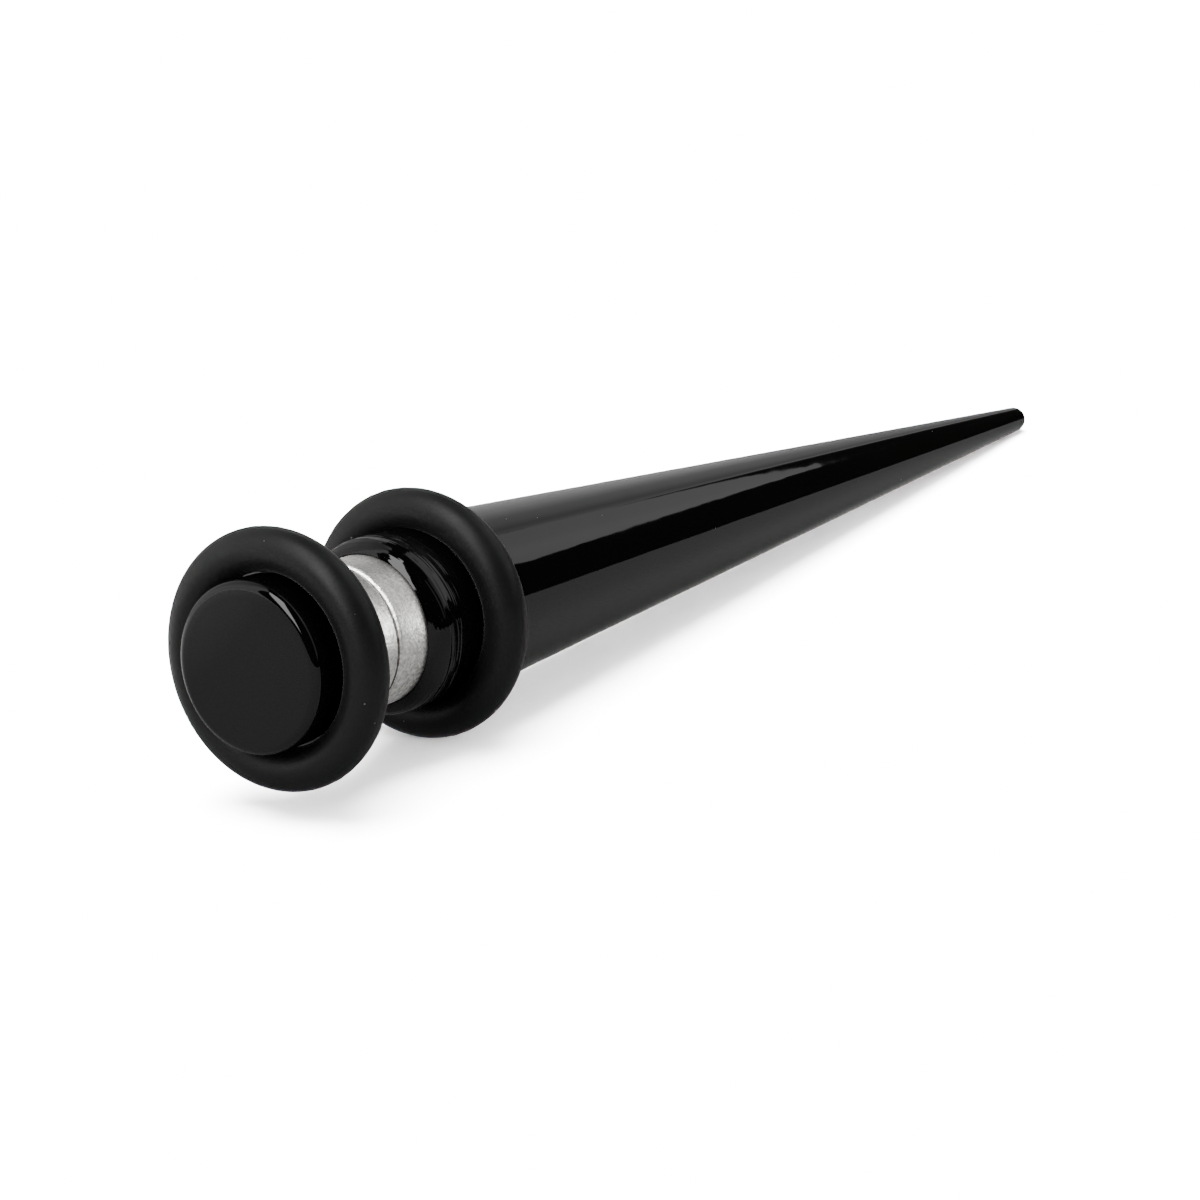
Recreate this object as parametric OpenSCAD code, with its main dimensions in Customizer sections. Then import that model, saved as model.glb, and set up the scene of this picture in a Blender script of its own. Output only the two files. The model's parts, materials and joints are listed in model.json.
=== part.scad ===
// Magnetic earring that looks like a stretching taper.
// A front button and a long spike each carry a rubber O-ring and a disc magnet,
// and the two magnets clamp the ear lobe between them.
// It lies on the plane z = 0 as it would by itself, on the spike's O-ring and its tip,
// so the axis runs towards +X and slopes down by rest_tilt.

/* [O-rings] */
// Bore of both O-rings
ring_bore = 7.1; // [6.8:0.1:7.6]
// Thickness of the O-ring's round section
ring_section = 1.8; // [1.6:0.1:2.0]
// Distance between the middles of the two O-rings, with the magnets closed
ring_spacing = 9.4; // [8.8:0.1:12]

/* [Front button] */
// Diameter of the button's flat front end
cap_d = 7.0; // [6.6:0.1:7.2]
// How far the front face stands in front of its O-ring's middle
cap_proud = 1.9; // [1.5:0.1:3]
// Radius of the polished edge round the front face
cap_edge = 0.35; // [0.1:0.05:0.6]

/* [Lobe ends] */
// Diameter of the rounded lip on both pieces, on the side of the ear
lip_d = 7.5; // [7.3:0.1:7.8]
// Radius of the lip's round edge
lip_edge = 1.1; // [0.6:0.1:1.3]
// Length of the spike's lobe end, from its O-ring's middle
lobe_end_l = 3.8; // [3.4:0.1:4.4]

/* [Magnets] */
// Diameter of the disc magnets
magnet_d = 6.3; // [6:0.05:6.4]
// Thickness of the disc magnets
magnet_l = 4; // [3.5:0.1:4.5]
// How far each magnet stands out of its pocket
magnet_proud = 1.65; // [1.2:0.05:1.8]
// Chamfer on the magnet's edges
magnet_chamfer = 0.2; // [0.1:0.05:0.3]

/* [Spike] */
// Diameter of the spike where its O-ring sits
spike_d = 8.1; // [7.9:0.1:8.6]
// Length of the spike from its O-ring's middle to the tip
spike_l = 58.6; // [30:0.1:75]
// Radius of the rounded tip
tip_r = 0.7; // [0.4:0.05:1.2]

/* [Hidden] */
$fn = 96;
// Clearance between pieces that sit in or on each other
gap = 0.05;

ring_r = ring_section / 2;
ring_mid_r = ring_bore / 2 + ring_r;
groove_r = ring_r + gap;

// Places along the axis, counted from the middle of the spike's O-ring towards the tip
front_ring_s = -ring_spacing;
seam_s = -lobe_end_l - magnet_proud;
tip_s = spike_l - tip_r;
// Length of the button's lobe end, from its O-ring's middle to where its magnet comes out
cap_lobe_l = ring_spacing - lobe_end_l - 2 * magnet_proud - gap;

pocket_r = magnet_d / 2 + gap;
pocket_l = magnet_l - magnet_proud + gap;

// The spike's side is the line from its thick end that just touches the ball of the tip
half_angle = atan2(spike_d / 2, tip_s) - asin(tip_r / norm([spike_d / 2, tip_s]));

// Slope at which the spike's O-ring and the ball of the tip both touch z = 0
rest_tilt = acos((tip_r - ring_r) / norm([ring_mid_r, tip_s])) - atan2(tip_s, ring_mid_r);
rear_ring_z = ring_mid_r * cos(rest_tilt) + ring_r;
// The lower edge of the button and the tip reach furthest along X, equally far from x = 0
front_reach = (ring_spacing + cap_proud - cap_edge) * cos(rest_tilt)
    + (cap_d / 2 - cap_edge) * sin(rest_tilt) + cap_edge;
tip_reach = tip_s * cos(rest_tilt) + tip_r;
rear_ring_x = (front_reach - tip_reach) / 2;

// Turns a half section round the earring's axis. The section's X is the radius,
// and its Y runs towards the tip from the place s along the axis.
module turned(s)
    translate([rear_ring_x, 0, rear_ring_z]) rotate([0, 90 + rest_tilt, 0])
        translate([0, 0, s]) rotate_extrude() children();

// Half section of a plain round bar from y = 0 to y = l, with its far edge rounded
module round_bar_section(r, l, edge) {
    square([r - edge, l]);
    square([r, l - edge]);
    translate([r - edge, l - edge]) intersection() {
        circle(edge);
        square(edge);
    }
}

// Half section of an O-ring, or of the groove that it sits in
module ring_half_section(r)
    translate([ring_mid_r, 0]) circle(r);

// Half section of a disc magnet with chamfered edges
module magnet_half_section() {
    r = magnet_d / 2;
    c = magnet_chamfer;
    polygon([
        [0, 0], [r - c, 0], [r, c], [r, magnet_l - c], [r - c, magnet_l], [0, magnet_l]
    ]);
}

// Half section of the spike's cone, with the ball of its tip
module cone_half_section() {
    touch = [tip_r * cos(half_angle), tip_s + tip_r * sin(half_angle)];
    polygon([[0, 0], [spike_d / 2, 0], touch, [0, touch.y]]);
    translate([0, tip_s]) intersection() {
        circle(tip_r);
        translate([0, -tip_r]) square([tip_r, 2 * tip_r]);
    }
}

// Button that shows on the front of the lobe: polished acrylic, with a seat for
// the O-ring, a rounded lip behind it and a pocket for the magnet
module front_cap()
    color([0.06, 0.06, 0.065])
    turned(front_ring_s) difference() {
        union() {
            mirror([0, 1]) round_bar_section(cap_d / 2, cap_proud, cap_edge);
            round_bar_section(lip_d / 2, cap_lobe_l, lip_edge);
        }
        ring_half_section(groove_r);
        translate([0, cap_lobe_l - pocket_l]) square([pocket_r, pocket_l]);
    }

// Long spike behind the lobe: a straight cone of polished acrylic with a round tip,
// and in front of its O-ring a rounded lobe end with a pocket for the magnet
module spike()
    color([0.05, 0.05, 0.055])
    turned(0) difference() {
        union() {
            cone_half_section();
            mirror([0, 1]) round_bar_section(lip_d / 2, lobe_end_l, lip_edge);
        }
        ring_half_section(groove_r);
        translate([0, -lobe_end_l]) square([pocket_r, pocket_l]);
    }

// O-ring of black rubber with a round section, its middle at s
module o_ring(s)
    color([0.13, 0.13, 0.13])
    turned(s) ring_half_section(ring_r);

module front_ring() o_ring(front_ring_s);

module rear_ring() o_ring(0);

// Nickel plated disc magnet, from s towards the tip
module magnet(s)
    color([0.82, 0.82, 0.80])
    turned(s) magnet_half_section();

module front_magnet() magnet(seam_s - gap - magnet_l);

module rear_magnet() magnet(seam_s);

front_cap();
front_ring();
front_magnet();
rear_magnet();
rear_ring();
spike();
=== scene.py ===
import json
import math

import bpy
from mathutils import Matrix, Vector


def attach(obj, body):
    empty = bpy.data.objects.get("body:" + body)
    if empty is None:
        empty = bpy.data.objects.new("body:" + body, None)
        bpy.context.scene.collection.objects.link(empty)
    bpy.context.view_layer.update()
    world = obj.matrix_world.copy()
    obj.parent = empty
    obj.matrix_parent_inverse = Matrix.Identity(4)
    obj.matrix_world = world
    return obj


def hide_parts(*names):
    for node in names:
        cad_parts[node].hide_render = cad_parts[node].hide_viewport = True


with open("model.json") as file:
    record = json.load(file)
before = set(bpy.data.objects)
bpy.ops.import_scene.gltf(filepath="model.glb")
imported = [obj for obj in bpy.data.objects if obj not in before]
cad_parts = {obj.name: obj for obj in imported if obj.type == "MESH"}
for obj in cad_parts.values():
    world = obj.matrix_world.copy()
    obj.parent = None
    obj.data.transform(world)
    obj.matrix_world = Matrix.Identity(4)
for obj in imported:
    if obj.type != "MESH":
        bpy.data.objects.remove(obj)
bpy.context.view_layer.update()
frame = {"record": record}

# How the earring lies
# Every piece is turned round one axis, so it is drawn in millimetres with that axis along X: in
# the names S is a place on it, counted from the middle of the spike's O-ring towards the tip, and
# R a radius. lay_down then puts the piece where the CAD says, on the spike's O-ring and its tip:
# the mount in the middle of the seam between the magnets gives the place and the slope.
MM = 0.001
SEAM_S = -5.475

clamp = next(m for m in frame["record"]["mounts"] if m["name"] == "lobe_clamp")
rest_tilt = math.atan2(-clamp["axis"][2], clamp["axis"][0])
laid = (
    Matrix.Translation(clamp["pos_m"])
    @ Matrix.Rotation(rest_tilt, 4, "Y")
    @ Matrix.Translation((-SEAM_S * MM, 0, 0))
)


def lay_down(obj):
    """Brings an object from the drawing to where it rests, with its place in its mesh."""
    obj.matrix_world = laid @ obj.matrix_world
    bpy.ops.object.select_all(action="DESELECT")
    obj.select_set(True)
    bpy.context.view_layer.objects.active = obj
    bpy.ops.object.transform_apply(location=True, rotation=True, scale=True)
    return obj


# Camera
# It looks at the button from in front and slightly above, along the spike, at the photo's angle
# to the earring: the same place and heading on the drawing, brought down with the earring.
CAMERA_PLACE = (-96.24, -71.89, 28.18)
CAMERA_HEADING = 56.872
CAMERA_DIP = 12.988
CAMERA_ROLL = 0.266
CAMERA_NEAR_M = 0.005
CAMERA_FAR_M = 10
SENSOR_MM = 36
FOCAL_PIXELS = 2932.6
IMAGE_PIXELS = 1200

bpy.ops.object.camera_add()
camera = bpy.context.object
camera.name = "camera"
camera.matrix_world = (
    laid
    @ Matrix.Translation(Vector(CAMERA_PLACE) * MM)
    @ Matrix.Rotation(-math.radians(CAMERA_HEADING), 4, "Z")
    @ Matrix.Rotation(math.radians(90 - CAMERA_DIP), 4, "X")
    @ Matrix.Rotation(-math.radians(CAMERA_ROLL), 4, "Z")
)
camera.data.sensor_width = SENSOR_MM
camera.data.lens = SENSOR_MM * FOCAL_PIXELS / IMAGE_PIXELS
camera.data.clip_start = CAMERA_NEAR_M
camera.data.clip_end = CAMERA_FAR_M
bpy.context.scene.camera = camera

# Button: the front cap
# Cast acrylic bar, turned and flame polished to a mirror. Its flat face has a rounded edge, the
# O-ring sits behind it, and the lip on the ear's side is rounded and bored for the magnet.
FACETS = 256
# Points nearer to each other than this, in metres, are merged
WELD_M = 2e-7
SMOOTH_ANGLE = math.radians(35)
CAP_R = 3.5
CAP_FACE_S = -11.3
CAP_EDGE = 0.35
LIP_R = 3.75
LIP_EDGE = 1.1
CAP_LOBE_S = -7.15
FRONT_RING_S = -9.4
RING_MID_R = 4.45
GROOVE_R = 0.95
POCKET_R = 3.2
CAP_POCKET_S = -9.55
# The flame leaves the lip slightly lumpy, but not the rim round the magnet's pocket
LIP_LUMP_WIDTH = 1.3
LIP_LUMP_HEIGHT = 0.065
POCKET_RIM = 0.1
CAP_LUMPS_FROM_S = -8.3
CAP_LUMPS_FULL_S = -7.8


def arc(s, r, radius, start, end, steps):
    """Points round (s, r), from one angle to the other: 0 is towards the tip, 90 outwards."""
    angles = [math.radians(start + (end - start) * i / steps) for i in range(steps + 1)]
    return [(s + radius * math.cos(a), r + radius * math.sin(a)) for a in angles]


def line(s0, r0, s1, r1, steps):
    """Points along a straight, without its two ends."""
    return [(s0 + (s1 - s0) * i / steps, r0 + (r1 - r0) * i / steps) for i in range(1, steps)]


def spin_round():
    """Spins what is being edited once round the axis, and closes and orients the skin."""
    bpy.ops.mesh.select_all(action="SELECT")
    bpy.ops.mesh.spin(steps=FACETS, angle=2 * math.pi, center=(0, 0, 0), axis=(1, 0, 0))
    bpy.ops.mesh.select_all(action="SELECT")
    bpy.ops.mesh.remove_doubles(threshold=WELD_M)
    bpy.ops.mesh.normals_make_consistent(inside=False)
    bpy.ops.object.mode_set(mode="OBJECT")
    bpy.ops.object.shade_smooth_by_angle(angle=SMOOTH_ANGLE)


def turn(name, outline):
    """Draws an outline of (place along the axis, radius) from a single point and spins it."""
    bpy.ops.object.select_all(action="DESELECT")
    s0, r0 = outline[0]
    bpy.ops.mesh.primitive_plane_add(size=MM, location=(s0 * MM, 0, r0 * MM))
    piece = bpy.context.object
    piece.name = name
    bpy.ops.object.transform_apply(location=True, rotation=True, scale=True)
    bpy.ops.object.mode_set(mode="EDIT")
    bpy.ops.mesh.merge(type="CENTER")
    for (s0, r0), (s1, r1) in zip(outline, outline[1:]):
        step = ((s1 - s0) * MM, 0, (r1 - r0) * MM)
        bpy.ops.mesh.extrude_region_move(TRANSFORM_OT_translate={"value": step})
    spin_round()
    return piece


def fade(s, start, full):
    """0 on the near side of start, rising evenly to 1 at full and beyond it."""
    return min(1, max(0, (s - start) / (full - start)))


def make_lumpy(piece, part, share, width, height):
    """Makes a skin lumpy, by the share(s, r) of its height, which is from dip to top."""
    group = piece.vertex_groups.new(name=part)
    for vertex in piece.data.vertices:
        weight = float(share(vertex.co.x / MM, math.hypot(vertex.co.y, vertex.co.z) / MM))
        if weight > 0:
            group.add([vertex.index], weight, "ADD")
    lumps = bpy.data.textures.new(piece.name + " " + part, type="CLOUDS")
    lumps.noise_scale = width * MM
    lumps.noise_depth = 1
    bpy.context.view_layer.objects.active = piece
    bpy.ops.object.modifier_add(type="DISPLACE")
    uneven = piece.modifiers[-1]
    uneven.texture = lumps
    uneven.strength = height * MM
    uneven.mid_level = 0.5
    uneven.vertex_group = part
    bpy.ops.object.modifier_apply(modifier=uneven.name)


def srgb(code):
    """A colour socket's value from an sRGB hex code."""
    parts = [int(code[i:i + 2], 16) / 255 for i in (1, 3, 5)]
    return [p / 12.92 if p <= 0.04045 else ((p + 0.055) / 1.055) ** 2.4 for p in parts] + [1]


def add_node(tree, kind, sockets=None, **settings):
    """Adds a node; a socket takes a value or a link from another node's output."""
    new = tree.nodes.new(kind)
    for setting, value in settings.items():
        setattr(new, setting, value)
    for socket, value in (sockets or {}).items():
        if isinstance(value, bpy.types.NodeSocket):
            tree.links.new(value, new.inputs[socket])
        else:
            new.inputs[socket].default_value = value
    return new


def material(name, **sockets):
    """A new material, its tree, its shader and the place on the piece in millimetres."""
    mat = bpy.data.materials.new(name)
    mat.use_nodes = True
    tree = mat.node_tree
    shader = tree.nodes["Principled BSDF"]
    for socket, value in sockets.items():
        shader.inputs[socket.replace("_", " ")].default_value = value
    own = add_node(tree, "ShaderNodeTexCoord")
    scale = (1 / MM, 1 / MM, 1 / MM)
    place = add_node(tree, "ShaderNodeMapping", {"Vector": own.outputs["Object"], "Scale": scale})
    return mat, tree, shader, place.outputs["Vector"]


def spread(tree, value, low, high, start=0.3, end=0.7):
    """Maps start to end, by default the middle of a noise, to low to high."""
    limits = {"Value": value, "From Min": start, "From Max": end, "To Min": low, "To Max": high}
    return add_node(tree, "ShaderNodeMapRange", limits).outputs["Result"]


def link(tree, shader, **sockets):
    """Links outputs to the shader's sockets."""
    for socket, output in sockets.items():
        tree.links.new(output, shader.inputs[socket.replace("_", " ")])


# Black cast acrylic, flame polished: a jet black body under a clear mirror gloss, in which the
# softboxes show as long sharp bands. The polish is a little uneven, so their edges waver, and the
# rounded lobe ends are rippled round the axis. It has faint wipe marks and a few specks of dust.
SWELL_WIDTH = 2.5
SWELL_HEIGHT = 0.009
RIPPLE_WIDTH = 0.2
RIPPLE_LENGTH = 2.5
RIPPLE_HEIGHT = 0.06
WIPE_WIDTH = 0.5
WIPE_LENGTH = 25 / 3
DUST_SPACING = 5 / 3
# Radius of a speck as a share of their spacing
DUST_SHARE = 0.02
JET = "#050505"
DUST_GREY = "#787876"
POLISHED = 0.02
WIPED = 0.06
# Places along the piece's own X, in millimetres, between which the ripple comes in behind the
# button's O-ring and goes out in front of the spike's
RIPPLE_IN = (-32.5, -31.9)
RIPPLE_OUT = (-25.2, -24.4)

acrylic, tree, shader, place = material("black cast acrylic, flame polished", IOR=1.49)
waver = add_node(
    tree, "ShaderNodeTexNoise", {"Vector": place, "Scale": 1 / SWELL_WIDTH, "Detail": 1}
)
swell = add_node(
    tree, "ShaderNodeBump",
    {"Height": waver.outputs["Fac"], "Strength": 1, "Distance": SWELL_HEIGHT * MM},
)
axial = add_node(tree, "ShaderNodeSeparateXYZ", {"Vector": place}).outputs["X"]
lobe_ends = add_node(
    tree, "ShaderNodeMath",
    {0: spread(tree, axial, 0, 1, *RIPPLE_IN), 1: spread(tree, axial, 1, 0, *RIPPLE_OUT)},
    operation="MULTIPLY",
)
round_axis = add_node(
    tree, "ShaderNodeMapping",
    {"Vector": place, "Scale": (1 / RIPPLE_WIDTH, 1 / RIPPLE_LENGTH, 1 / RIPPLE_LENGTH)},
)
ripple = add_node(
    tree, "ShaderNodeTexNoise", {"Vector": round_axis.outputs["Vector"], "Scale": 1, "Detail": 1}
)
ripple_height = add_node(
    tree, "ShaderNodeMath",
    {0: ripple.outputs["Fac"], 1: lobe_ends.outputs["Value"]}, operation="MULTIPLY",
)
rippled = add_node(
    tree, "ShaderNodeBump",
    {
        "Height": ripple_height.outputs["Value"], "Strength": 1,
        "Distance": RIPPLE_HEIGHT * MM, "Normal": swell.outputs["Normal"],
    },
)
along_axis = add_node(
    tree, "ShaderNodeMapping",
    {"Vector": place, "Scale": (1 / WIPE_LENGTH, 1 / WIPE_WIDTH, 1 / WIPE_WIDTH)},
)
wiped = add_node(
    tree, "ShaderNodeTexNoise", {"Vector": along_axis.outputs["Vector"], "Scale": 1, "Detail": 4}
)
dust = add_node(tree, "ShaderNodeTexVoronoi", {"Vector": place, "Scale": 1 / DUST_SPACING})
speck = add_node(
    tree, "ShaderNodeMath", {0: dust.outputs["Distance"], 1: DUST_SHARE}, operation="LESS_THAN"
)
jet = add_node(
    tree, "ShaderNodeMix",
    {"Factor": speck.outputs["Value"], "A": srgb(JET), "B": srgb(DUST_GREY)},
    data_type="RGBA",
)
link(
    tree, shader, Base_Color=jet.outputs["Result"], Normal=rippled.outputs["Normal"],
    Roughness=spread(tree, wiped.outputs["Fac"], POLISHED, WIPED),
)

# Angle on the groove's circle at which it comes out of the lip
lip_dip = math.degrees(math.asin((RING_MID_R - LIP_R) / GROOVE_R))
# Angle on the lip's round edge at which the pocket cuts it off
pocket_cut = math.degrees(math.asin((POCKET_R - (LIP_R - LIP_EDGE)) / LIP_EDGE))

cap_outline = (
    [(CAP_FACE_S, 0)]
    + line(CAP_FACE_S, 0, CAP_FACE_S, CAP_R - CAP_EDGE, steps=12)
    + arc(CAP_FACE_S + CAP_EDGE, CAP_R - CAP_EDGE, CAP_EDGE, 180, 90, steps=12)
    + arc(FRONT_RING_S, RING_MID_R, GROOVE_R, -90, -lip_dip, steps=6)
    + line(FRONT_RING_S + GROOVE_R, LIP_R, CAP_LOBE_S - LIP_EDGE, LIP_R, steps=4)
    + arc(CAP_LOBE_S - LIP_EDGE, LIP_R - LIP_EDGE, LIP_EDGE, 90, pocket_cut, steps=16)
    + [(CAP_POCKET_S, POCKET_R)]
    + [(CAP_POCKET_S, 0)]
)
front_cap = turn("front_cap_turned", cap_outline)
front_cap.data.materials.append(acrylic)
make_lumpy(
    front_cap, "lip",
    lambda s, r: r > POCKET_R + POCKET_RIM and fade(s, CAP_LUMPS_FROM_S, CAP_LUMPS_FULL_S),
    LIP_LUMP_WIDTH, LIP_LUMP_HEIGHT,
)
lay_down(front_cap)
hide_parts("front_cap")
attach(front_cap, "front")

# O-rings
# Nitrile rubber, pressed in a two-part mould that leaves a thin torn line of flash round the
# outside. Each is 7.1 mm in the bore and 1.8 thick, a round section spun round the axis.
RING_R = 0.9
RING_SECTION_POINTS = 72
REAR_RING_S = 0
# The flash is a single line of points, within this much of the outside
FLASH_DEPTH = 0.001
FLASH_LUMP_WIDTH = 0.45
FLASH_LUMP_HEIGHT = 0.072

# Black nitrile rubber, pressed: deep grey-black with a satin skin that spreads each light into a
# broad soft sheen, faintly mottled where the mould released it, with a few specks of lint. The
# grain is drawn coarser than the real one, or it wouldn't show.
RUBBER_GRAIN_WIDTH = 1 / 9
RUBBER_GRAIN_HEIGHT = 0.008
BLOOM_WIDTH = 10 / 7
LINT_SPACING = 10 / 9
# Radius of a speck as a share of their spacing
LINT_SHARE = 0.035
RUBBER_BLACK = "#1a1a1a"
LINT_GREY = "#6e6e6c"
SATIN = (0.37, 0.47)

rubber, tree, shader, place = material(
    "black nitrile rubber, pressed", IOR=1.5, Specular_IOR_Level=0.33,
    Sheen_Weight=0.18, Sheen_Roughness=0.3,
)
skin = add_node(
    tree, "ShaderNodeTexNoise", {"Vector": place, "Scale": 1 / RUBBER_GRAIN_WIDTH, "Detail": 4}
)
grain = add_node(
    tree, "ShaderNodeBump",
    {"Height": skin.outputs["Fac"], "Strength": 0.4, "Distance": RUBBER_GRAIN_HEIGHT * MM},
)
bloom = add_node(
    tree, "ShaderNodeTexNoise", {"Vector": place, "Scale": 1 / BLOOM_WIDTH, "Detail": 3}
)
lint = add_node(tree, "ShaderNodeTexVoronoi", {"Vector": place, "Scale": 1 / LINT_SPACING})
speck = add_node(
    tree, "ShaderNodeMath", {0: lint.outputs["Distance"], 1: LINT_SHARE}, operation="LESS_THAN"
)
linty = add_node(
    tree, "ShaderNodeMix",
    {"Factor": speck.outputs["Value"], "A": srgb(RUBBER_BLACK), "B": srgb(LINT_GREY)},
    data_type="RGBA",
)
link(
    tree, shader, Base_Color=linty.outputs["Result"], Normal=grain.outputs["Normal"],
    Roughness=spread(tree, bloom.outputs["Fac"], *SATIN),
)


def o_ring(name, s):
    """An O-ring with its middle at s."""
    bpy.ops.object.select_all(action="DESELECT")
    bpy.ops.mesh.primitive_circle_add(
        vertices=RING_SECTION_POINTS,
        radius=RING_R * MM,
        location=(s * MM, 0, RING_MID_R * MM),
        rotation=(math.pi / 2, 0, 0),
    )
    ring = bpy.context.object
    ring.name = name
    bpy.ops.object.transform_apply(location=True, rotation=True, scale=True)
    bpy.ops.object.mode_set(mode="EDIT")
    spin_round()
    ring.data.materials.append(rubber)
    flash_r = RING_MID_R + RING_R - FLASH_DEPTH
    make_lumpy(ring, "flash", lambda s, r: r > flash_r, FLASH_LUMP_WIDTH, FLASH_LUMP_HEIGHT)
    return lay_down(ring)


front_ring = o_ring("front_ring_moulded", FRONT_RING_S)
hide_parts("front_ring")
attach(front_ring, "front")

rear_ring = o_ring("rear_ring_moulded", REAR_RING_S)
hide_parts("rear_ring")
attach(rear_ring, "rear")

# Magnets
# Two neodymium discs, 6.3 mm across and 4 mm thick, tumbled and nickel plated. Each is glued into
# its pocket with 1.65 mm standing out, and the pair meets face to face.
MAGNET_R = 3.15
MAGNET_L = 4
MAGNET_CHAMFER = 0.2
MAGNET_GAP = 0.05
# Within this much of each end, the rims are painted darker: painted shade for the seam between the
# magnets
SEAM_SHADE_WIDTH = 0.06
# A face whose normal has less than this along the axis is on the disc's side or rim
END_FACE_NORMAL = 0.98

# Nickel plate on a tumbled disc: a bright, slightly warm grey metal with a frosted satin grain,
# because the plate follows the pressed powder under it, and small dull pits. Both are drawn
# coarser than the real ones, or they wouldn't show.
PIT_WIDTH = 1 / 9
PIT_HEIGHT = 0.03
MOTTLE_WIDTH = 0.2
DULL_PLATE = "#bbbab6"
BRIGHT_PLATE = "#f4f3ef"
DULL_ROUGHNESS = 0.42
BRIGHT_ROUGHNESS = 0.26
# Range of the noise between a dull place and a bright one
MOTTLE_RANGE = (0.38, 0.62)

nickel, tree, shader, place = material("nickel plate, tumbled", Metallic=1)
pits = add_node(tree, "ShaderNodeTexNoise", {"Vector": place, "Scale": 1 / PIT_WIDTH, "Detail": 5})
grain = add_node(
    tree, "ShaderNodeBump",
    {"Height": pits.outputs["Fac"], "Strength": 0.8, "Distance": PIT_HEIGHT * MM},
)
mottle = add_node(
    tree, "ShaderNodeTexNoise",
    {"Vector": place, "Scale": 1 / MOTTLE_WIDTH, "Detail": 6, "Roughness": 0.7},
).outputs["Fac"]
plate = add_node(
    tree, "ShaderNodeMix",
    {
        "Factor": spread(tree, mottle, 0, 1, *MOTTLE_RANGE),
        "A": srgb(DULL_PLATE), "B": srgb(BRIGHT_PLATE),
    },
    data_type="RGBA",
)
link(
    tree, shader, Base_Color=plate.outputs["Result"], Normal=grain.outputs["Normal"],
    Roughness=spread(tree, mottle, DULL_ROUGHNESS, BRIGHT_ROUGHNESS),
)

# The same plate at the rims of the discs, rougher and painted darker in blotches: painted shade
# in the seam where the two magnets meet
SHADE_BLOTCH_WIDTH = 0.4
SEAM_SHADE_DARK = "#3b3a37"
SEAM_SHADE_PALE = "#8b8a86"

seam_shade, tree, shader, place = material("nickel plate, painted seam shade", Metallic=1, Roughness=0.6)
shade_blotches = add_node(
    tree, "ShaderNodeTexNoise", {"Vector": place, "Scale": 1 / SHADE_BLOTCH_WIDTH, "Detail": 4}
)
seam_shade_tone = add_node(
    tree, "ShaderNodeMix",
    {
        "Factor": spread(tree, shade_blotches.outputs["Fac"], 0, 1),
        "A": srgb(SEAM_SHADE_DARK), "B": srgb(SEAM_SHADE_PALE),
    },
    data_type="RGBA",
)
link(tree, shader, Base_Color=seam_shade_tone.outputs["Result"])

# Lights that are meant for the magnets alone are linked to this
plated = bpy.data.collections.new("plated")


def magnet(name, s):
    """A disc magnet from s towards the tip, its two rims bevelled and painted with seam shade."""
    bpy.ops.object.select_all(action="DESELECT")
    bpy.ops.mesh.primitive_cylinder_add(
        vertices=FACETS,
        radius=MAGNET_R * MM,
        depth=MAGNET_L * MM,
        end_fill_type="NGON",
        location=((s + MAGNET_L / 2) * MM, 0, 0),
        rotation=(0, math.pi / 2, 0),
    )
    disc = bpy.context.object
    disc.name = name
    bpy.ops.object.transform_apply(location=True, rotation=True, scale=True)
    bpy.ops.object.mode_set(mode="EDIT")
    bpy.ops.mesh.select_mode(type="EDGE")
    bpy.ops.mesh.select_all(action="DESELECT")
    bpy.ops.object.mode_set(mode="OBJECT")
    for edge in disc.data.edges:
        start, end = (disc.data.vertices[v].co.x for v in edge.vertices)
        edge.select = abs(start - end) < MAGNET_CHAMFER * MM
    bpy.ops.object.mode_set(mode="EDIT")
    bpy.ops.mesh.bevel(offset=MAGNET_CHAMFER * MM, segments=5, profile=0.4)
    bpy.ops.mesh.select_mode(type="VERT")
    bpy.ops.object.mode_set(mode="OBJECT")
    bpy.ops.object.shade_smooth_by_angle(angle=SMOOTH_ANGLE)
    disc.data.materials.append(nickel)
    # The second material paints shade on the rims near each end, for the seam between the magnets
    disc.data.materials.append(seam_shade)
    for face in disc.data.polygons:
        from_end = MAGNET_L / 2 - abs(face.center.x / MM - s - MAGNET_L / 2)
        on_side = abs(face.normal.x) < END_FACE_NORMAL
        face.material_index = int(on_side and from_end < SEAM_SHADE_WIDTH)
    plated.objects.link(disc)
    return lay_down(disc)


front_magnet = magnet("front_magnet_plated", SEAM_S - MAGNET_GAP / 2 - MAGNET_L)
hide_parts("front_magnet")
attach(front_magnet, "front")

rear_magnet = magnet("rear_magnet_plated", SEAM_S + MAGNET_GAP / 2)
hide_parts("rear_magnet")
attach(rear_magnet, "rear")

# Spike
# The same cast acrylic as the button, turned to a long straight taper with a round tip. In front
# of its O-ring it has the same rounded and bored lobe end as the button.
SPIKE_R = 4.05
TIP_R = 0.7
TIP_S = 57.9
SPIKE_LOBE_S = -3.8
SPIKE_POCKET_S = -1.4
# The lobe end is as lumpy as the button's, and the strip behind the O-ring has broader lumps
SPIKE_LUMPS_FROM_S = -1.1
SPIKE_LUMPS_FULL_S = -1.9
SEAT_LUMP_WIDTH = 2
SEAT_LUMP_HEIGHT = 0.06
SEAT_LUMPS_FROM_S = 2.7
SEAT_LUMPS_FULL_S = 2.1

# The side of the taper just touches the ball of the tip
half_angle = math.atan2(SPIKE_R, TIP_S) - math.asin(TIP_R / math.hypot(SPIKE_R, TIP_S))
tip_touch_s = TIP_S + TIP_R * math.sin(half_angle)
tip_touch_r = TIP_R * math.cos(half_angle)
# Angle on the groove's circle at which it comes out of the taper, by trying the taper's radius
taper_r = SPIKE_R
for _ in range(10):
    dip = math.asin((RING_MID_R - taper_r) / GROOVE_R)
    taper_r = SPIKE_R - GROOVE_R * math.cos(dip) * math.tan(half_angle)
taper_s = GROOVE_R * math.cos(dip)
taper_dip = math.degrees(dip)

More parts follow.
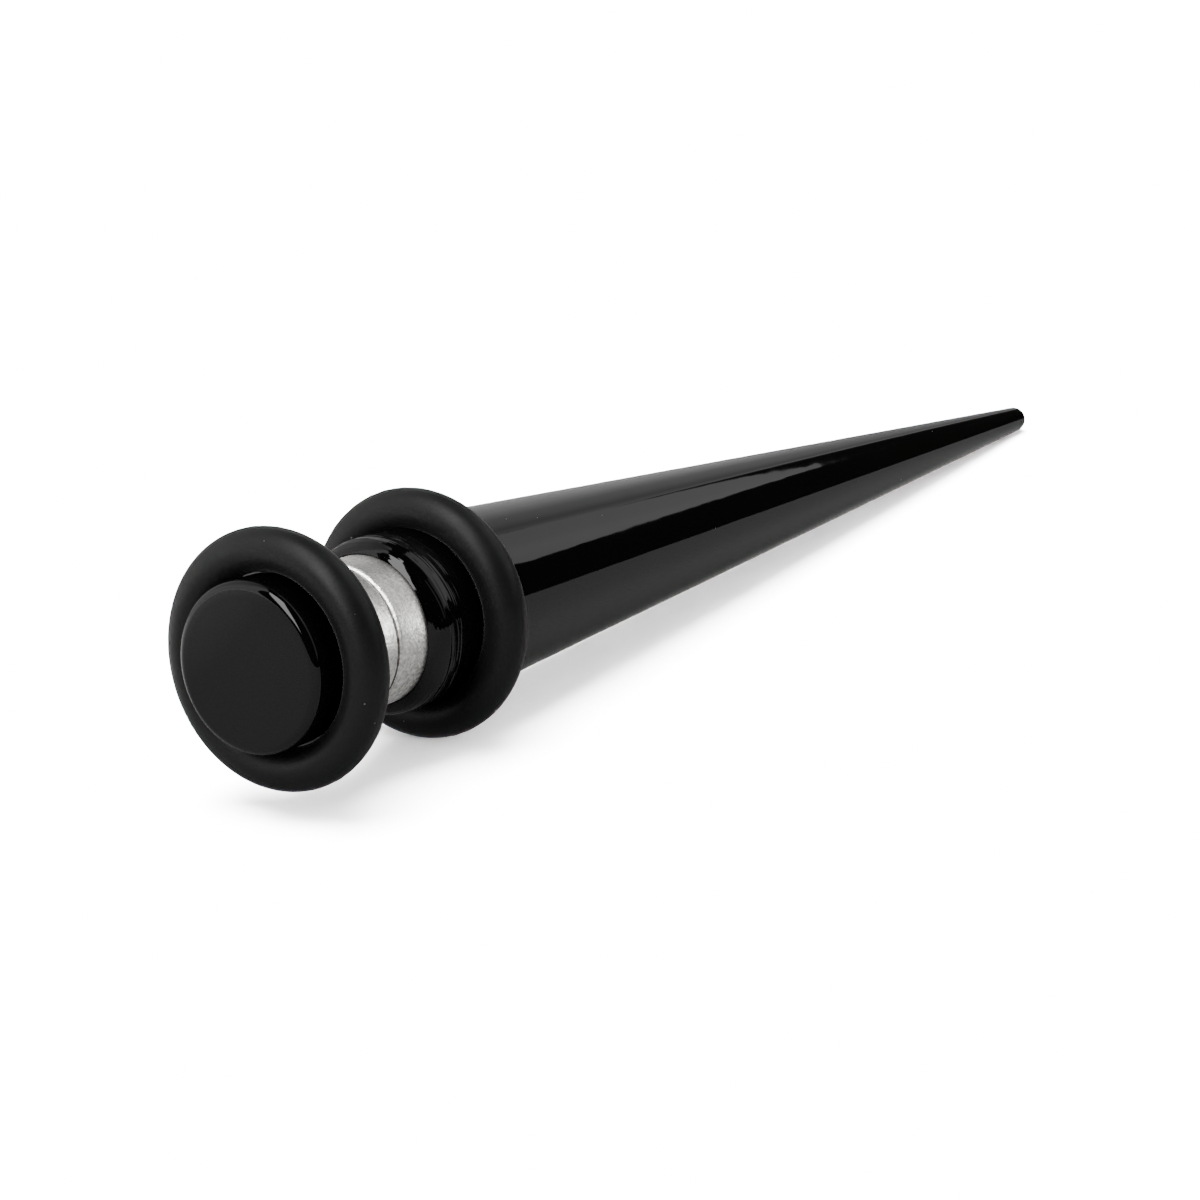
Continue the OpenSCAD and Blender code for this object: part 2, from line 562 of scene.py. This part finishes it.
spike_outline = (
    [(SPIKE_POCKET_S, 0), (SPIKE_POCKET_S, POCKET_R)]
    + arc(SPIKE_LOBE_S + LIP_EDGE, LIP_R - LIP_EDGE, LIP_EDGE, 180 - pocket_cut, 90, steps=16)
    + line(SPIKE_LOBE_S + LIP_EDGE, LIP_R, -GROOVE_R, LIP_R, steps=12)
    + arc(REAR_RING_S, RING_MID_R, GROOVE_R, 180 + lip_dip, 360 - taper_dip, steps=12)
    + line(taper_s, taper_r, tip_touch_s, tip_touch_r, steps=90)
    + arc(TIP_S, 0, TIP_R, 90 - math.degrees(half_angle), 0, steps=20)
)
spike = turn("spike_turned", spike_outline)
spike.data.materials.append(acrylic)
make_lumpy(
    spike, "lip",
    lambda s, r: r > POCKET_R + POCKET_RIM and fade(s, SPIKE_LUMPS_FROM_S, SPIKE_LUMPS_FULL_S),
    LIP_LUMP_WIDTH, LIP_LUMP_HEIGHT,
)
make_lumpy(
    spike, "seat",
    lambda s, r: s > GROOVE_R and fade(s, SEAT_LUMPS_FROM_S, SEAT_LUMPS_FULL_S),
    SEAT_LUMP_WIDTH, SEAT_LUMP_HEIGHT,
)
lay_down(spike)
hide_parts("spike")
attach(spike, "rear")

# Studio: the white floor
# The camera sees a plain white sweep. Its light comes from two suns that shine on floors only: a
# wide one nearly overhead, which gives the soft shadow under the earring, and a whole sky of fill.
FLOOR_SIZE_M = 4.4
FLOOR_WHITE = "#f2f2f2"
FLOOR_GLOW = 0.1
WHITE = "#ffffff"
BLACK = "#000000"
BACKDROP_R_M = 2.15
BACKDROP_GLOW = 16
SUNS = (
    # name, heading and height, width in degrees, strength
    ("key_sun", (10, 78), 56, 70),
    ("fill_sun", (0, 90), 180, 15),
)

floors = bpy.data.collections.new("floors")


def seen_by(obj, **rays):
    """Sets which rays see an object: camera, diffuse, glossy, transmission and shadow."""
    for ray in ("camera", "diffuse", "glossy", "transmission", "shadow"):
        setattr(obj, "visible_" + ray, rays.get(ray, False))


def toward(heading, height):
    """Direction on the drawing: heading in degrees from +Y towards +X, height above level."""
    a, e = math.radians(heading), math.radians(height)
    return Vector((math.sin(a) * math.cos(e), math.cos(a) * math.cos(e), math.sin(e)))


def sun(name, direction, width, strength):
    """A sun that shines on the floors alone."""
    turned = toward(*direction).to_track_quat("Z", "Y").to_euler()
    bpy.ops.object.light_add(type="SUN", rotation=turned)
    lamp = bpy.context.object
    lamp.name = name
    lamp.data.energy = strength
    lamp.data.angle = math.radians(width)
    # The card under the earring stops bounced rays but casts no shadow. A sun that bounced rays
    # can find would leave a faint line on the floor, where the card comes up through it.
    lamp.data.cycles.use_multiple_importance_sampling = False
    lamp.light_linking.receiver_collection = floors


for lamp in SUNS:
    sun(*lamp)

bpy.ops.object.select_all(action="DESELECT")
bpy.ops.mesh.primitive_plane_add(size=FLOOR_SIZE_M)
floor = bpy.context.object
floor.name = "floor"
sweep = material(
    "matt white sweep", Base_Color=srgb(FLOOR_WHITE), Roughness=1, Specular_IOR_Level=0,
    Emission_Color=srgb(WHITE), Emission_Strength=FLOOR_GLOW,
)[0]
floor.data.materials.append(sweep)
seen_by(floor, camera=True)
floors.objects.link(floor)

# White beyond the floor's edge, which only the camera sees
bpy.ops.mesh.primitive_uv_sphere_add(segments=48, ring_count=24, radius=BACKDROP_R_M)
backdrop = bpy.context.object
backdrop.name = "backdrop"
glow = material(
    "white backdrop", Base_Color=srgb(BLACK), Emission_Color=srgb(WHITE),
    Emission_Strength=BACKDROP_GLOW,
)[0]
backdrop.data.materials.append(glow)
seen_by(backdrop, camera=True)

# Studio: the card under the earring
# What the gloss sees for a floor: a grey card along the underside of both O-rings, a darker
# copy of the white floor with a straight far edge against the dark room. It is darker under
# the spike, which is painted shade, and paler behind the button, which is a painted pool of
# light, and it glows faintly as painted fill light. It is drawn in millimetres with the pieces,
# so it slopes as the earring does.
CARD_WIDTH = 1200
CARD_NEAR = -600
CARD_FAR = 190
CARD_DROP = 0.02
# The card glows faintly: painted fill light, so the shade under the earring stays grey in the
# gloss
CARD_GLOW = 0.12
NEAR_GREY = "#202020"
# Painted shade: the grey under the spike is darker
SPIKE_SHADE_GREY = "#1a1a1a"
# A painted pool of light: the paler grey behind the button
LIGHT_POOL_GREY = "#3a3a3a"
# Where along X the grey in front of the button goes over into the painted shade under the spike
CARD_DARKENS = (-55, -20)
# The painted pool of light ends between two places along X, and begins between two values of Y +
# ASKEW * X
LIGHT_POOL_TO = (-28, -12)
LIGHT_POOL_FROM = (-10, 4)
ASKEW = 0.5

bpy.ops.mesh.primitive_plane_add(
    size=1, location=((CARD_NEAR + CARD_FAR) / 2 * MM, 0, -(RING_MID_R + RING_R + CARD_DROP) * MM)
)
card = bpy.context.object
card.name = "floor_card"
card.scale = ((CARD_FAR - CARD_NEAR) * MM, CARD_WIDTH * MM, 1)
grey, tree, shader, place = material(
    "grey card", Roughness=1, Specular_IOR_Level=0,
    Emission_Color=srgb(WHITE), Emission_Strength=CARD_GLOW,
)
along = add_node(tree, "ShaderNodeSeparateXYZ", {"Vector": place})
askew = add_node(
    tree, "ShaderNodeMath",
    {0: along.outputs["X"], 1: ASKEW, 2: along.outputs["Y"]}, operation="MULTIPLY_ADD",
)
# The painted pool of light behind the button
behind = add_node(
    tree, "ShaderNodeMath",
    {
        0: spread(tree, askew.outputs["Value"], 0, 1, *LIGHT_POOL_FROM),
        1: spread(tree, along.outputs["X"], 1, 0, *LIGHT_POOL_TO),
    },
    operation="MULTIPLY",
)
# Painted shade: the card goes darker under the spike
under = add_node(
    tree, "ShaderNodeMix",
    {
        "Factor": spread(tree, along.outputs["X"], 0, 1, *CARD_DARKENS),
        "A": srgb(NEAR_GREY), "B": srgb(SPIKE_SHADE_GREY),
    },
    data_type="RGBA",
)
tint = add_node(
    tree, "ShaderNodeMix",
    {"Factor": behind.outputs["Value"], "A": under.outputs["Result"], "B": srgb(LIGHT_POOL_GREY)},
    data_type="RGBA",
)
link(tree, shader, Base_Color=tint.outputs["Result"])
card.data.materials.append(grey)
lay_down(card)
seen_by(card, diffuse=True, glossy=True, transmission=True)
floors.objects.link(card)

# Studio: softboxes and cards round the earring
# The long bands in the gloss are panels. Their corners are directions from the middle of the
# spike on the drawing: low left, low right, top left, top right. Tones are radiance from the left
# edge to the right one. Distances and sizes are in metres.
# Middle of the spike, in millimetres, which they all face
AIM = (25, 0, 0)
PANELS = (
    # name, distance, corners, tones
    ("right_softbox_left_half", 0.8, ((88, 27.1), (100.5, 22), (78, 76), (100, 70)),
     ((0.0, 0.60), (0.4, 0.65), (1.0, 0.75))),
    ("right_softbox", 0.8, ((100.5, 22), (130, 17), (100, 70), (150, 60)),
     ((0.0, 0.75), (0.22, 0.88), (1.0, 0.95))),
    ("right_softbox_end", 0.8, ((130, 17), (172, 5), (150, 60), (175, 50)),
     ((0.0, 0.95), (0.5, 0.60), (1.0, 0.30))),
    ("left_wall", 0.9, ((-60, -2), (45, -2), (-60, 70), (45, 70)),
     ((0.0, 1.20), (0.44, 1.10), (0.55, 0.70), (0.73, 0.50), (1.0, 0.30))),
    ("rear_card", 0.8, ((40, -14), (64, -6), (40, 47), (89, 31)),
     ((0.0, 0.65), (0.46, 0.57), (0.60, 0.42), (0.72, 0.42), (0.85, 0.33), (0.92, 0.42),
      (0.97, 0.54))),
)
SOFTBOXES = (
    # name, heading and height, distance, width, length, radiance, what it lights alone
    ("left_softbox", (-90, 45), 0.8, 0.32, 0.9, 6, None),
    ("magnet_fill", (105, -20), 0.8, 1.1, 1.2, 9, plated),
    ("magnet_rim", (-135, 36), 0.8, 0.5, 0.5, 12, plated),
    ("magnet_key", (-60, 50), 0.8, 0.6, 0.6, 28, plated),
)
ROOM_TONE = 0.02


def panel(name, distance, corners, tones):
    """A glowing panel that the camera doesn't see."""
    bpy.ops.mesh.primitive_plane_add(size=1)
    sheet = bpy.context.object
    sheet.name = name
    for vertex, corner in zip(sheet.data.vertices, corners):
        vertex.co = Vector(AIM) * MM + toward(*corner) * distance
    mat, tree, shader, _ = material(name, Base_Color=srgb(BLACK), Specular_IOR_Level=0)
    top = max(tone for _, tone in tones)
    uv = add_node(tree, "ShaderNodeTexCoord")
    across = add_node(tree, "ShaderNodeSeparateXYZ", {"Vector": uv.outputs["UV"]})
    ramp = add_node(tree, "ShaderNodeValToRGB", {"Fac": across.outputs["X"]})
    for i, (start, tone) in enumerate(tones):
        stop = ramp.color_ramp.elements[i] if i < 2 else ramp.color_ramp.elements.new(start)
        stop.position = start
        stop.color = (tone / top, tone / top, tone / top, 1)
    link(tree, shader, Emission_Color=ramp.outputs["Color"])
    shader.inputs["Emission Strength"].default_value = top
    sheet.data.materials.append(mat)
    seen_by(sheet, diffuse=True, glossy=True, transmission=True)
    lay_down(sheet)


def softbox(name, direction, distance, width, length, radiance, receivers):
    """A soft light that faces the earring; with receivers it lights those objects alone."""
    away = toward(*direction)
    bpy.ops.object.light_add(
        type="AREA",
        location=Vector(AIM) * MM + away * distance,
        rotation=away.to_track_quat("Z", "Y").to_euler(),
    )
    lamp = bpy.context.object
    lamp.name = name
    lamp.data.shape = "RECTANGLE"
    lamp.data.size = width
    lamp.data.size_y = length
    lamp.data.energy = radiance * math.pi * width * length
    lamp.visible_camera = False
    lamp.matrix_world = laid @ lamp.matrix_world
    if receivers:
        lamp.light_linking.receiver_collection = receivers


for sheet in PANELS:
    panel(*sheet)

for box in SOFTBOXES:
    softbox(*box)

room_light = (ROOM_TONE, ROOM_TONE, ROOM_TONE, 1)
room = bpy.data.worlds.new("dark room")
room.use_nodes = True
room.node_tree.nodes["Background"].inputs["Color"].default_value = room_light
bpy.context.scene.world = room
